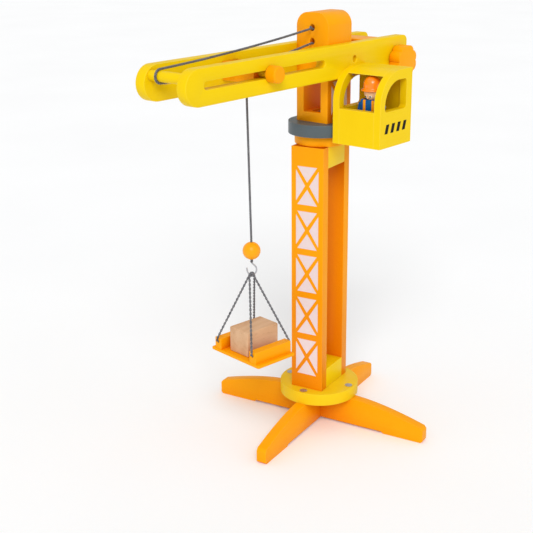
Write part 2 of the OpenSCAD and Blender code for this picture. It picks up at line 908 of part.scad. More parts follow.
module cab_front_panel() {
    color(yellow) slab(cab_in, cab_in - cab_out)
        translate([cab_x, cab_z]) square([panel_t, sill_z - cab_z]);
}

module cab_back_panel() {
    color(yellow) slab(cab_in, cab_in - cab_out)
        translate([cab_x + cab_l - back_t, cab_z + floor_t])
            square([back_t, cab_h - floor_t - roof_t]);
}

// flat underneath, its front edge lies where the arch meets its underside
module cab_roof() {
    color(yellow) slab(cab_in, cab_in - cab_out) intersection() {
        cab_outline();
        translate([cab_x, cab_z + cab_h - roof_t]) square([cab_l, roof_t]);
    }
}

module cab_floor() {
    color(yellow) slab(cab_in, cab_in - cab_out)
        translate([cab_x + panel_t, cab_z]) square([cab_l - panel_t, floor_t]);
}

module cab_screws() {
    color(steel) cab_screw_places() screw(cab_screw_l, cab_screw_d, cab_screw_head_d);
}

// ---- driver ----

module at_driver() {
    translate(driver) children();
}

module driver_body() {
    color(blue) at_driver() difference() {
        union() {
            translate([-body_d / 2, -body_w / 2, leg_h])
                cube([body_d, body_w, body_h - leg_h]);
            for (s = [-1, 1]) translate([-body_d / 2 - 1, s * (body_w / 4) - leg_w / 2, 0])
                cube([body_d + 1, leg_w, leg_h]);
        }
        translate([0, 0, shoulder_h]) rotate([90, 0, 0])
            cylinder(r = pin_r + touch_gap, h = body_w + 2 * cut, center = true);
    }
}

module driver_head() {
    color(skin) at_driver() translate([0, 0, body_h]) difference() {
        union() {
            translate([0, 0, head_mid]) sphere(r = head_r);
            cylinder(r = neck_r, h = neck_l);
        }
        translate([0, 0, head_tall]) cylinder(r = 2 * head_r, h = head_r);
        translate([0, 0, -head_r]) cylinder(r = 2 * head_r, h = head_r);
    }
}

module driver_helmet() {
    color(orange) at_driver() translate([0, 0, body_h + head_tall - 3]) difference() {
        union() {
            cylinder(r = brim_r, h = brim_t);
            rotate_extrude() intersection() {
                union() {
                    translate([0, dome_z]) circle(r = helmet_r);
                    square([helmet_r, dome_z]);
                }
                square(helmet_r + dome_z);
            }
        }
        translate([0, 0, -cut]) cylinder(r = head_r + touch_gap, h = 3 + cut + touch_gap);
    }
}

module driver_pin() {
    color(beech) at_driver() translate([0, 0, shoulder_h]) rotate([90, 0, 0])
        cylinder(r = pin_r, h = body_w + 2 * arm_d, center = true);
}

module driver_arm(s) {
    color(blue) at_driver() translate([0, s * (body_w / 2 + arm_gap + arm_d / 2), shoulder_h])
        rotate([0, arm_tilt, 0]) difference() {
            union() {
                rotate([90, 0, 0]) cylinder(d = arm_d + 1, h = arm_d, center = true);
                translate([0, 0, -arm_l]) cylinder(d = arm_d - 0.4, h = arm_l);
                translate([0, 0, -arm_l]) sphere(d = arm_d);
            }
            rotate([90, 0, 0]) cylinder(r = pin_r + run_gap, h = arm_d + 2 * cut, center = true);
        }
}

module driver_arm_left() { driver_arm(-1); }

module driver_arm_right() { driver_arm(1); }

cross_foot_long();
cross_foot_cross();
base_disc();
base_screws();
tower_board_front();
tower_board_back();
tower_block_bottom();
tower_block_top();
tower_dowels();
collar_disc();
slew_bolt();
slew_washer();
slew_nut();
turntable_disc();
turntable_screws();
head_block();
jib_board_near();
jib_board_far();
jib_pins();
tip_dowel();
counterweight_block();
drawcord_upper();
drawcord_turn();
drawcord_rear_upper();
drawcord_rear_lower();
cab_inner_plate();
cab_outer_plate();
cab_front_panel();
cab_back_panel();
cab_roof();
cab_floor();
cab_screws();
driver_body();
driver_head();
driver_helmet();
driver_pin();
driver_arm_left();
driver_arm_right();
winch_axle();
winch_drum();
crank_knob();
winch_end_cap();
drawcord_windings();
drawcord_knots();
drawcord_return();
drawcord_inner();
trolley_carriage();
trolley_axle();
trolley_knob_near();
trolley_knob_far();
hoist_windings();
hoist_cord();
hook_ball();
hook_knot();
hook_wire();
sling_ropes();
platform_plate();
platform_rail_near();
platform_rail_far();
load_block();
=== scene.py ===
"""Toy tower crane: finishes, soft edges, twisted cords, printed panels and driver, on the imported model."""

import math

import bmesh
import bpy
from mathutils import Matrix, Vector


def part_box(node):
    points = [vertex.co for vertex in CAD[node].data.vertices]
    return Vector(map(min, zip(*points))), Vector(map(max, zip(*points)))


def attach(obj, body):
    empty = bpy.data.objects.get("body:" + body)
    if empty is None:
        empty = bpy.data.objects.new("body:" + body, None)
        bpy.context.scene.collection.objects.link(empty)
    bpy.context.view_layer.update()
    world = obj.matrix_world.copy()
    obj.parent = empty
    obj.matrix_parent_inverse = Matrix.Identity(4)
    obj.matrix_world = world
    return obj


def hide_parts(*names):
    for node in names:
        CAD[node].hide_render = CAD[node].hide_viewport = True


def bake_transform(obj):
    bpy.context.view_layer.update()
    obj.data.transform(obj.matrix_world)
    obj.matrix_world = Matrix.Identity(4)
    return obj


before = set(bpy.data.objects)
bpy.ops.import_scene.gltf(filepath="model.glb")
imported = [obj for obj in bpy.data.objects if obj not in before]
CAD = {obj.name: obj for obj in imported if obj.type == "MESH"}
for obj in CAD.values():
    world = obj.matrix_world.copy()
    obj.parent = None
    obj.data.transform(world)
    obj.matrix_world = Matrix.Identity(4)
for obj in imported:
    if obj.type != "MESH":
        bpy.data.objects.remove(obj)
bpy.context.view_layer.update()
MM = 0.001
SIDES = ((-1, "near"), (1, "far"))      # the sign of Y, and the side's name

# ---------------------------------------------------------------- places read from the frame


def low(node):
    """The lowest corner of a CAD node's box."""
    return Vector(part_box(node)[0])


def high(node):
    """The highest corner of a CAD node's box."""
    return Vector(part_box(node)[1])


def centre(node):
    """The middle of a CAD node's box."""
    return (low(node) + high(node)) / 2


def base_turn():
    """The turn of the feet and the tower about Z, from the long foot's half on the +X side."""
    side = [v.co for v in CAD["cross_foot_long"].data.vertices if v.co.x > 0]
    return math.atan2(sum(c.y for c in side), sum(c.x for c in side))


def load_turn():
    """The turn of the platform about Z, from the line between its two rails."""
    across = centre("platform_rail_far") - centre("platform_rail_near")
    return math.atan2(-across.x, across.y)


BASE_TURN = base_turn()
LOAD_TURN = load_turn()
TIP = centre("tip_dowel")
WINCH = centre("winch_axle")
HOOK_LINE = centre("hoist_cord")
CORD_R = (high("hoist_cord").x - low("hoist_cord").x) / 2

# ---------------------------------------------------------------- finishes


def srgb(red, green, blue):
    """A colour given as it looks on a screen, as the linear values that a shader takes."""
    def linear(c):
        c = c / 255
        return c / 12.92 if c <= 0.04045 else ((c + 0.055) / 1.055) ** 2.4
    return (linear(red), linear(green), linear(blue), 1.0)


class Shader:
    """A node tree that is built from the inside out."""

    def __init__(self, name):
        self.material = bpy.data.materials.new(name)
        self.material.use_nodes = True
        self.tree = self.material.node_tree
        self.surface = self.tree.nodes["Principled BSDF"]

    def add(self, kind, **inputs):
        node = self.tree.nodes.new(kind)
        for key, value in inputs.items():
            name = key.replace("_", " ")
            if name in node.inputs:
                self.feed(node.inputs[name], value)
            else:
                setattr(node, key, value)
        return node

    def feed(self, socket, value):
        if isinstance(value, bpy.types.NodeSocket):
            self.tree.links.new(value, socket)
        else:
            socket.default_value = value

    def place(self, scale=(1, 1, 1)):
        """Positions in the row frame, stretched by scale."""
        where = self.add("ShaderNodeTexCoord")
        turn = self.add("ShaderNodeMapping")
        self.feed(turn.inputs["Vector"], where.outputs["Object"])
        self.feed(turn.inputs["Scale"], scale)
        return turn.outputs["Vector"]

    def noise(self, scale, detail=3.0, stretch=(1, 1, 1)):
        node = self.add("ShaderNodeTexNoise", Scale=scale, Detail=detail)
        self.feed(node.inputs["Vector"], self.place(stretch))
        return node.outputs["Fac"]

    def spread(self, value, low_in, high_in, low_out, high_out):
        node = self.add("ShaderNodeMapRange")
        for name, number in zip(("Value", "From Min", "From Max", "To Min", "To Max"),
                                (value, low_in, high_in, low_out, high_out)):
            self.feed(node.inputs[name], number)
        return node.outputs["Result"]

    def mix(self, factor, first, second):
        node = self.add("ShaderNodeMix", data_type="RGBA")
        self.feed(node.inputs[0], factor)
        self.feed(node.inputs[6], first)
        self.feed(node.inputs[7], second)
        return node.outputs[2]

    def edges(self, radius):
        """About 1 on sharp edges and 0 on flat faces."""
        soft = self.add("ShaderNodeBevel", samples=4, Radius=radius)
        shape = self.add("ShaderNodeNewGeometry")
        dot = self.add("ShaderNodeVectorMath", operation="DOT_PRODUCT")
        self.feed(dot.inputs[0], soft.outputs["Normal"])
        self.feed(dot.inputs[1], shape.outputs["Normal"])
        return self.spread(dot.outputs["Value"], 0.995, 0.80, 0.0, 1.0)

    def hollow_shade(self, distance, clear):
        """Painted shade mask: about 1 deep inside hollows, where shade falls, and 0 where more than a share
        of the view, clear, is open.
        """
        around = self.add("ShaderNodeAmbientOcclusion", samples=6, Distance=distance)
        return self.spread(around.outputs["AO"], 0.15, clear, 1.0, 0.0)

    def bump(self, height, distance, strength):
        node = self.add("ShaderNodeBump", Strength=strength, Distance=distance)
        self.feed(node.inputs["Height"], height)
        self.feed(self.surface.inputs["Normal"], node.outputs["Normal"])

    def finish(self, colour, roughness, metallic=0.0, coat=0.0, specular=0.5):
        self.feed(self.surface.inputs["Base Color"], colour)
        self.feed(self.surface.inputs["Specular IOR Level"], specular)
        self.feed(self.surface.inputs["Roughness"], roughness)
        self.feed(self.surface.inputs["Metallic"], metallic)
        self.feed(self.surface.inputs["Coat Weight"], coat)
        self.feed(self.surface.inputs["Coat Roughness"], 0.25)
        return self.material


def painted_wood(name, body, shade, worn_and_highlit, hollow_shade_colour, stretch=(1, 1, 1), rough=0.4, gloss=0.0, specular=0.1,
                 shade_reach=0.07, clear=0.45):
    """Lacquer on wood: faint grain, edges a little worn and paler as a painted highlight, and painted shade
    in a deeper colour inside hollows.
    """
    s = Shader(name)
    clouds = s.spread(s.noise(28, 4), 0.35, 0.68, 0.0, 1.0)
    grain = s.spread(s.noise(420, 5, stretch), 0.40, 0.66, 0.0, 1.0)
    tone = s.mix(s.spread(clouds, 0, 1, 0.0, 0.30), body, shade)
    tone = s.mix(s.spread(grain, 0, 1, 0.0, 0.10), tone, shade)
    # painted shade: hollows and corners turn towards the deeper colour, as where shade falls
    tone = s.mix(s.spread(s.hollow_shade(shade_reach, clear), 0, 1, 0.0, 0.85), tone, hollow_shade_colour)
    # edges paler: partly wear, partly a painted highlight along the rounded edges
    tone = s.mix(s.spread(s.edges(0.0011), 0, 1, 0.0, 0.35), tone, worn_and_highlit)
    s.bump(s.noise(520, 4, stretch), 0.0004, 0.10)
    return s.finish(tone, s.spread(clouds, 0, 1, rough - 0.05, rough + 0.07), coat=gloss,
                    specular=specular)


def bare_wood(name, light, dark, stretch):
    """Sanded beech: long soft bands, and the short dark flecks of its rays."""
    s = Shader(name)
    bands = s.spread(s.noise(70, 3, stretch), 0.38, 0.64, 0.0, 1.0)
    flecks = s.spread(s.noise(900, 2, stretch), 0.60, 0.74, 0.0, 1.0)
    tone = s.mix(bands, light, dark)
    tone = s.mix(s.spread(flecks, 0, 1, 0.0, 0.35), tone, srgb(150, 108, 76))
    tone = s.mix(s.spread(s.edges(0.0008), 0, 1, 0.0, 0.4), tone, light)
    s.bump(s.noise(800, 4, stretch), 0.0003, 0.15)
    return s.finish(tone, s.spread(bands, 0, 1, 0.55, 0.68), specular=0.2)


def metal(name, colour, rough):
    """Plated steel: smeared reflections, and brighter edges."""
    s = Shader(name)
    smear = s.spread(s.noise(600, 4, (1, 1, 4)), 0.35, 0.65, 0.0, 1.0)
    tone = s.mix(s.spread(smear, 0, 1, 0.0, 0.3), colour, srgb(120, 120, 124))
    tone = s.mix(s.spread(s.edges(0.0003), 0, 1, 0.0, 0.4), tone, srgb(235, 235, 238))
    s.bump(s.noise(900, 3), 0.0002, 0.1)
    return s.finish(tone, s.spread(smear, 0, 1, rough, rough + 0.15), metallic=0.9)


def yarn(name, body, light):
    """Twisted cotton: dark strands with paler fibres."""
    s = Shader(name)
    fibres = s.spread(s.noise(2600, 4), 0.42, 0.66, 0.0, 1.0)
    clouds = s.spread(s.noise(140, 3), 0.4, 0.65, 0.0, 1.0)
    tone = s.mix(fibres, body, light)
    tone = s.mix(s.spread(clouds, 0, 1, 0.0, 0.3), tone, body)
    s.bump(s.noise(3000, 3), 0.0003, 0.5)
    return s.finish(tone, s.spread(fibres, 0, 1, 0.8, 0.95))


def print_ink(name, body, shade, rough=0.45):
    """A thin layer of ink on the paint, which lets a little of the grain through."""
    s = Shader(name)
    patches = s.spread(s.noise(300, 4), 0.4, 0.7, 0.0, 1.0)
    tone = s.mix(s.spread(patches, 0, 1, 0.0, 0.35), body, shade)
    tone = s.mix(s.spread(s.edges(0.0003), 0, 1, 0.0, 0.3), tone, shade)
    s.bump(s.noise(900, 4), 0.0002, 0.12)
    return s.finish(tone, s.spread(patches, 0, 1, rough - 0.05, rough + 0.08), specular=0.1)


# stretches that lay the grain along an axis
ALONG_X = (0.06, 1, 1)
ALONG_Y = (1, 0.06, 1)
ALONG_Z = (1, 1, 0.06)

# each lacquer's body, shade for its mottling, worn edges that are also a painted highlight, and the painted
# shade inside hollows
ORANGE = (srgb(249, 165, 0), srgb(245, 153, 0), srgb(254, 186, 60), srgb(226, 106, 0))
YELLOW = (srgb(240, 204, 4), srgb(233, 193, 0), srgb(249, 221, 96), srgb(218, 170, 0))

orange_x = painted_wood("orange_lacquer_x", *ORANGE, stretch=ALONG_X)
orange_y = painted_wood("orange_lacquer_y", *ORANGE, stretch=ALONG_Y)
orange_z = painted_wood("orange_lacquer_z", *ORANGE, stretch=ALONG_Z, shade_reach=0.04)
# a shaded copy of the orange: a stronger painted shade on the tower's inner faces, between its boards
tower_paint_deep_shade = painted_wood("tower_lacquer_deep_shade", *ORANGE[:3], srgb(206, 76, 0), stretch=ALONG_Z,
                           shade_reach=0.30, clear=0.88)
yellow_x = painted_wood("yellow_lacquer_x", *YELLOW, stretch=ALONG_X)
yellow_y = painted_wood("yellow_lacquer_y", *YELLOW, stretch=ALONG_Y)
yellow_z = painted_wood("yellow_lacquer_z", *YELLOW, stretch=ALONG_Z)
disc_yellow = painted_wood("disc_lacquer", srgb(237, 199, 24), srgb(226, 184, 14),
                           srgb(244, 222, 104), srgb(206, 164, 20), stretch=ALONG_X)
grey_paint = painted_wood("grey_lacquer", srgb(86, 97, 102), srgb(74, 84, 88),
                          srgb(136, 144, 148), srgb(66, 76, 80), stretch=ALONG_X, specular=0.2)
blue_paint = painted_wood("blue_lacquer", srgb(20, 96, 170), srgb(14, 80, 150),
                          srgb(70, 140, 200), srgb(8, 60, 120), stretch=ALONG_Z)
helmet_paint = painted_wood("helmet_lacquer", srgb(255, 138, 10), srgb(246, 120, 6),
                            srgb(255, 170, 70), srgb(226, 100, 0), stretch=ALONG_Z, rough=0.25,
                            gloss=0.6, specular=0.3)
ball_paint = painted_wood("ball_lacquer", *ORANGE, stretch=ALONG_Z, rough=0.3, specular=0.25)
beech_x = bare_wood("beech_x", srgb(216, 176, 138), srgb(200, 155, 115), ALONG_X)
beech_y = bare_wood("beech_y", srgb(216, 176, 138), srgb(200, 155, 115), ALONG_Y)
face_wood = bare_wood("face_wood", srgb(236, 196, 156), srgb(226, 182, 140), ALONG_Z)
zinc = metal("zinc_plate", srgb(196, 196, 200), 0.3)
cord_yarn = yarn("cord_yarn", srgb(64, 64, 68), srgb(160, 160, 164))
panel_white = print_ink("panel_white", srgb(226, 208, 208), srgb(222, 198, 194))
black_ink = print_ink("black_ink", srgb(14, 12, 10), srgb(30, 26, 20))
white_ink = print_ink("eye_white", srgb(238, 232, 220), srgb(226, 216, 200))
face_ink = print_ink("face_ink", srgb(30, 22, 18), srgb(50, 38, 30), rough=0.3)


def paint(node, material):
    """Gives a CAD node its material."""
    slots = CAD[node].material_slots
    if not slots:
        CAD[node].data.materials.append(material)
    for slot in slots:
        slot.material = material


FINISH = {
    orange_x: ["cross_foot_long", "counterweight_block", "platform_plate", "platform_rail_near",
               "platform_rail_far", "trolley_carriage", "collar_disc"],
    orange_y: ["cross_foot_cross", "crank_knob", "winch_end_cap", "winch_drum", "trolley_knob_near",
               "trolley_knob_far"],
    orange_z: ["head_block"],
    tower_paint_deep_shade: ["tower_board_front", "tower_board_back"],
    yellow_x: ["jib_board_near", "jib_board_far", "cab_inner_plate", "cab_outer_plate", "cab_roof",
               "cab_floor", "jib_pins", "tower_block_bottom", "tower_block_top"],
    yellow_y: ["tip_dowel", "winch_axle", "trolley_axle"],
    yellow_z: ["cab_front_panel", "cab_back_panel"],
    disc_yellow: ["base_disc"],
    ball_paint: ["hook_ball"],
    grey_paint: ["turntable_disc"],
    beech_x: ["load_block"],
    beech_y: ["tower_dowels", "driver_pin"],
    zinc: ["base_screws", "slew_bolt", "slew_washer", "slew_nut", "turntable_screws", "cab_screws",
           "hook_wire"],
    cord_yarn: ["drawcord_upper", "drawcord_turn", "drawcord_rear_upper", "drawcord_rear_lower",
                "drawcord_return", "drawcord_inner", "drawcord_windings", "drawcord_knots",
                "hoist_windings", "hoist_cord", "hook_knot", "sling_ropes"],
    blue_paint: ["driver_body", "driver_arm_left", "driver_arm_right"],
    face_wood: ["driver_head"],
    helmet_paint: ["driver_helmet"],
}
for finish, names in FINISH.items():
    for name in names:
        paint(name, finish)

# ---------------------------------------------------------------- soft edges on the CAD solids


def soften(node, width, segments=3, angle=35, keep_sharp=()):
    """Welds a CAD node's facets into whole faces and rounds their sharp edges, as modifiers.

    Edges that touch one of the planes of Y in keep_sharp stay sharp.
    """
    obj = CAD[node]
    weld = obj.modifiers.new("weld", "WELD")
    weld.merge_threshold = 1e-6
    flat = obj.modifiers.new("whole_faces", "DECIMATE")
    flat.decimate_type = "DISSOLVE"
    flat.angle_limit = math.radians(0.4)
    bevel = obj.modifiers.new("soft_edges", "BEVEL")
    bevel.width = width
    bevel.segments = segments
    bevel.limit_method = "ANGLE"
    bevel.angle_limit = math.radians(angle)
    bevel.harden_normals = True
    bevel.use_clamp_overlap = True
    if keep_sharp:
        free = obj.vertex_groups.new(name="free_edges")
        free.add([v.index for v in obj.data.vertices
                  if all(abs(v.co.y - y) > 0.1 * MM for y in keep_sharp)], 1.0, "REPLACE")
        bevel.limit_method = "VGROUP"
        bevel.vertex_group = "free_edges"
        bevel.harden_normals = False
        split = obj.modifiers.new("sharp_seams", "EDGE_SPLIT")
        split.split_angle = math.radians(angle)
        level_faces = obj.modifiers.new("level_faces", "WEIGHTED_NORMAL")
        level_faces.keep_sharp = True
    for polygon in obj.data.polygons:
        polygon.use_smooth = True


# the radius of the edges in millimetres, and the nodes that have it
SOFT_EDGES = {
    1.6: ["jib_board_near", "jib_board_far", "cross_foot_long", "cross_foot_cross"],
    1.5: ["crank_knob"],
    1.2: ["head_block", "tower_board_front", "tower_board_back", "base_disc", "collar_disc"],
    1.0: ["turntable_disc", "platform_rail_near", "platform_rail_far", "load_block",
          "platform_plate", "tower_block_bottom", "tower_block_top", "counterweight_block",
          "winch_end_cap"],
    0.8: ["trolley_carriage"],
    0.5: ["tip_dowel", "trolley_axle", "winch_axle"],
}
for width, names in SOFT_EDGES.items():
    for name in names:
        soften(name, width * MM)
# the cab's boards are glued flush and painted over, so its seams stay closed
CAB_SEAMS = (low("cab_inner_plate").y, high("cab_outer_plate").y)
for name in ("cab_inner_plate", "cab_outer_plate"):
    soften(name, 1.2 * MM, keep_sharp=CAB_SEAMS)

# ---------------------------------------------------------------- helpers that make pieces


def piece(name, verts, faces, material, body=None, smooth=True):
    """A new object of one material, which rides a body when one is given."""
    mesh = bpy.data.meshes.new(name)
    mesh.from_pydata([tuple(v) for v in verts], [], faces)
    mesh.validate()
    obj = bpy.data.objects.new(name, mesh)
    bpy.context.scene.collection.objects.link(obj)
    mesh.materials.append(material)
    tidy = bmesh.new()
    tidy.from_mesh(mesh)
    bmesh.ops.remove_doubles(tidy, verts=tidy.verts, dist=1e-7)
    bmesh.ops.recalc_face_normals(tidy, faces=tidy.faces)
    tidy.to_mesh(mesh)
    tidy.free()
    for polygon in mesh.polygons:
        polygon.use_smooth = smooth
    if body:
        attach(obj, body)
    return obj


CURVE_STEPS = 24         # dense points between two given points of a curve


def along(points, step):
    """Points at equal steps along a smooth curve through the given points."""
    points = [Vector(p) for p in points]
    ends = [2 * points[0] - points[1]] + points + [2 * points[-1] - points[-2]]
    dense = []
    for i in range(1, len(ends) - 2):
        a, b, c, d = ends[i - 1:i + 3]
        for k in range(CURVE_STEPS):
            t = k / CURVE_STEPS
            dense.append(0.5 * (2 * b + (c - a) * t + (2 * a - 5 * b + 4 * c - d) * t * t
                                + (3 * b - a - 3 * c + d) * t * t * t))
    dense.append(points[-1])
    lengths = [0.0]
    for a, b in zip(dense, dense[1:]):
        lengths.append(lengths[-1] + (b - a).length)
    count = max(2, int(round(lengths[-1] / step)))
    result = []
    j = 0
    for i in range(count + 1):
        want = lengths[-1] * i / count
        while j < len(dense) - 2 and lengths[j + 1] < want:
            j += 1
        span = lengths[j + 1] - lengths[j]
        result.append(dense[j].lerp(dense[j + 1], (want - lengths[j]) / span if span else 0))
    return result


def cross_axes(path):
    """At each point of a path, the point and two axes across it that turn as little as they can."""
    forward = (path[1] - path[0]).normalized()
    side = forward.orthogonal().normalized()
    for i, point in enumerate(path):
        ahead = path[min(i + 1, len(path) - 1)] - path[max(i - 1, 0)]
        if ahead.length > 0:
            forward = ahead.normalized()
        side = (side - forward * side.dot(forward)).normalized()
        yield point, side, forward.cross(side)


def tube_mesh(paths, radius, sides=8):
    """Vertices and faces of closed tubes along the given lists of points."""
    verts, faces = [], []
    for path in paths:
        start = len(verts)
        for point, side, up in cross_axes(path):
            for k in range(sides):
                a = 2 * math.pi * k / sides
                verts.append(point + radius * (math.cos(a) * side + math.sin(a) * up))
        for i in range(len(path) - 1):
            for k in range(sides):
                a, b = start + i * sides + k, start + i * sides + (k + 1) % sides
                faces.append((a, b, b + sides, a + sides))
        faces.append(tuple(range(start + sides - 1, start - 1, -1)))
        end = start + (len(path) - 1) * sides
        faces.append(tuple(range(end, end + sides)))
    return verts, faces


STRAND_SHARE = 0.47      # radius of a strand over the cord's radius
TWIST_PITCH = 6.0 * MM   # length in which a strand goes once round


def strand_paths(points, radius, strands, pitch, step=0.55 * MM):
    """The centre lines of a cord's strands, twisted round the curve through points."""
    core = along(points, step)
    paths = [[] for _ in range(strands)]
    travelled = 0.0
    last = core[0]
    for point, side, up in cross_axes(core):
        travelled += (point - last).length
        last = point
        for k in range(strands):
            a = 2 * math.pi * (travelled / pitch + k / strands)
            paths[k].append(point + radius * (1 - STRAND_SHARE)
                            * (math.cos(a) * side + math.sin(a) * up))
    return paths


def twisted_cord(name, runs, replaces, body=None, radius=CORD_R, strands=3, pitch=TWIST_PITCH):
    """One or more runs of cord, each a smooth curve, in place of CAD nodes."""
    paths = [p for run in runs for p in strand_paths(run, radius, strands, pitch)]
    verts, faces = tube_mesh(paths, radius * STRAND_SHARE)
    obj = piece(name, verts, faces, cord_yarn, body)
    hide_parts(*replaces)
    return obj


def lathe(name, profile, at, axis, material, body, steps=48):
    """A turned piece: profile gives (radius, height) pairs up the axis."""
    turn = Vector((0, 0, 1)).rotation_difference(Vector(axis)).to_matrix().to_4x4()
    spot = Matrix.Translation(at) @ turn
    verts, faces = [], []
    for radius, height in profile:
        for k in range(steps):
            a = 2 * math.pi * k / steps
            verts.append(spot @ Vector((radius * math.cos(a), radius * math.sin(a), height)))
    for i in range(len(profile) - 1):
        for k in range(steps):
            a, b = i * steps + k, i * steps + (k + 1) % steps
            faces.append((a, b, b + steps, a + steps))
    if profile[0][0] > 0:
        faces.append(tuple(reversed(range(steps))))
    if profile[-1][0] > 0:
        top = (len(profile) - 1) * steps
        faces.append(tuple(range(top, top + steps)))
    return piece(name, verts, faces, material, body)


def soft_box(name, size, spot, material, body, bevel, segments=3):
    """A box of the given size about the origin of spot, with rounded edges."""
    x, y, z = (s / 2 for s in size)
    verts = [spot @ Vector((sx * x, sy * y, sz * z))
             for sx in (-1, 1) for sy in (-1, 1) for sz in (-1, 1)]
    faces = [(0, 1, 3, 2), (4, 6, 7, 5), (0, 4, 5, 1), (2, 3, 7, 6), (0, 2, 6, 4), (1, 5, 7, 3)]
    obj = piece(name, verts, faces, material, body)
    rounding = obj.modifiers.new("soft_edges", "BEVEL")
    rounding.width = bevel
    rounding.segments = segments
    rounding.harden_normals = True
    return obj


def plates(name, outlines, thickness, spot, material, body):
    """Thin flat shapes in spot's XY plane, standing up along its Z."""
    verts, faces = [], []
    for outline in outlines:
        n, start = len(outline), len(verts)
        verts += [spot @ Vector((p[0], p[1], 0)) for p in outline]
        verts += [spot @ Vector((p[0], p[1], thickness)) for p in outline]
        faces.append(tuple(start + i for i in range(n)))
        faces.append(tuple(start + n + i for i in range(n)))
        for i in range(n):
            j = (i + 1) % n
            faces.append((start + i, start + j, start + n + j, start + n + i))
    return piece(name, verts, faces, material, body, smooth=False)


# ---------------------------------------------------------------- printed panels

INK = 0.12 * MM                  # thickness of a printed shape


def lattice(width, height, z0, gap=1.9 * MM):
    """Four triangles that leave a diagonal cross between them, in a panel standing on z0."""
    w, h = width / 2, height / 2
    slant = math.hypot(w, h)
    top = gap * slant / w            # half the bar's width, measured along the top and the bottom
    side = gap * slant / h           # and along the sides
    mid = z0 + h
    return [
        [(-w + side * w / h, z0), (w - side * w / h, z0), (0, mid - top)],
        [(-w + side * w / h, z0 + height), (0, mid + top), (w - side * w / h, z0 + height)],
        [(-w, z0 + top), (-side, mid), (-w, z0 + height - top)],
        [(w, z0 + top), (w, z0 + height - top), (side, mid)],
    ]


def tower_spot(side):
    """A tower board's outer face: X across the board, Y up, Z out of the wood."""
    reach = max(v.co.x * math.cos(BASE_TURN) + v.co.y * math.sin(BASE_TURN)
                for v in CAD["tower_board_back"].data.vertices)
    facing = Matrix.Rotation(BASE_TURN + (math.pi if side < 0 else 0), 4, "Z")
    upright = Matrix(((0, 0, 1, reach), (1, 0, 0, 0), (0, 1, 0, 0), (0, 0, 0, 1)))
    return facing @ upright


TOWER_LOW = low("tower_board_front").z
PANELS = 5
PANEL_W = 24.0 * MM
PANEL_H = 37.2 * MM
PANEL_PITCH = 43.75 * MM
PANEL_START = 15.2 * MM          # from the tower's foot to the lowest panel
HEAD_PANEL_H = 34 * MM
HEAD_PANEL_START = 4 * MM
for side, name in ((-1, "lattice_front"), (1, "lattice_back")):
    shapes = []
    for i in range(PANELS):
        shapes += lattice(PANEL_W, PANEL_H, TOWER_LOW + PANEL_START + i * PANEL_PITCH)
    plates(name, shapes, INK, tower_spot(side), panel_white, "base")

HEAD_LOW = low("head_block").z
HEAD_MID = centre("head_block")
for side, tag in SIDES:
    face = low("head_block").y if side < 0 else high("head_block").y
    spot = Matrix(((-side, 0, 0, HEAD_MID.x), (0, 0, side, face), (0, 1, 0, 0), (0, 0, 0, 1)))
    plates("lattice_head_" + tag, lattice(PANEL_W, HEAD_PANEL_H, HEAD_LOW + HEAD_PANEL_START), INK,
           spot, panel_white, "upper")

# ---------------------------------------------------------------- cab stripes

CAB_LOW = low("cab_outer_plate")
stripe_spot = Matrix(((1, 0, 0, 0), (0, 0, -1, CAB_LOW.y), (0, 1, 0, 0), (0, 0, 0, 1)))
STRIPES = 4
STRIPE_START, STRIPE_PITCH = 7.2, 9.3      # millimetres from the cab's front edge
STRIPE_W, STRIPE_H, STRIPE_LEAN = 4.6 * MM, 8.3 * MM, 2.6 * MM
stripe_z = CAB_LOW.z + 13.0 * MM
stripes = []
for i in range(STRIPES):
    x = CAB_LOW.x + (STRIPE_START + STRIPE_PITCH * i) * MM
    stripes.append([(x, stripe_z), (x + STRIPE_W, stripe_z),
                    (x + STRIPE_W + STRIPE_LEAN, stripe_z + STRIPE_H),
                    (x + STRIPE_LEAN, stripe_z + STRIPE_H)])
plates("cab_stripes", stripes, INK, stripe_spot, black_ink, "upper")

# ---------------------------------------------------------------- cords

HEAD_FRONT = low("head_block").x
HEAD_REAR = high("head_block").x
UPPER_IN = high("drawcord_upper").z - CORD_R
LOWER_IN = high("drawcord_rear_lower").z - CORD_R
UPPER_OUT = high("drawcord_rear_upper").z - CORD_R
LOWER_OUT = LOWER_IN - (UPPER_IN - UPPER_OUT)
TURN_Y = centre("drawcord_turn").y
TURN_R = (high("drawcord_turn").z - low("drawcord_turn").z) / 2 - CORD_R
TURN_Z = centre("drawcord_turn").z


def turn_round_tip():
    """The drawcord's half turn over the tip dowel, from its top round to its underside."""
    return [(TIP.x - TURN_R * math.sin(a), TURN_Y, TURN_Z + TURN_R * math.cos(a))
            for a in (math.radians(d) for d in range(15, 181, 15))]


SAG = 1.8 * MM                   # of the drawcord's upper run, in its middle
upper_out = Vector((HEAD_REAR - 1 * MM, 0, UPPER_OUT + 0.6 * MM))
upper_start = Vector((HEAD_FRONT - 0.5 * MM, 0, UPPER_IN - 0.3 * MM))
upper_end = Vector((TIP.x, TURN_Y, TURN_Z + TURN_R))
sag = [upper_start.lerp(upper_end, t) - Vector((0, 0, SAG * 4 * t * (1 - t)))
       for t in (0.02, 0.15, 0.3, 0.5, 0.7, 0.85, 1.0)]
twisted_cord("drawcord_over", [[upper_out, upper_start] + sag + turn_round_tip()],
             ["drawcord_upper", "drawcord_turn"], "upper")

return_start = Vector((TIP.x, TURN_Y, TURN_Z - TURN_R))
return_end = Vector((low("drawcord_knots").x, 0, centre("drawcord_knots").z))
back_run = twisted_cord("drawcord_back", [[return_start, return_end]], ["drawcord_return"])
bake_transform(back_run)

inner_end = Vector((high("drawcord_knots").x, 0, centre("drawcord_knots").z))
inner_start = Vector((HEAD_FRONT, 0, LOWER_IN))
inner_run = twisted_cord("drawcord_lower", [[inner_start, inner_end]], ["drawcord_inner"])
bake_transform(inner_run)

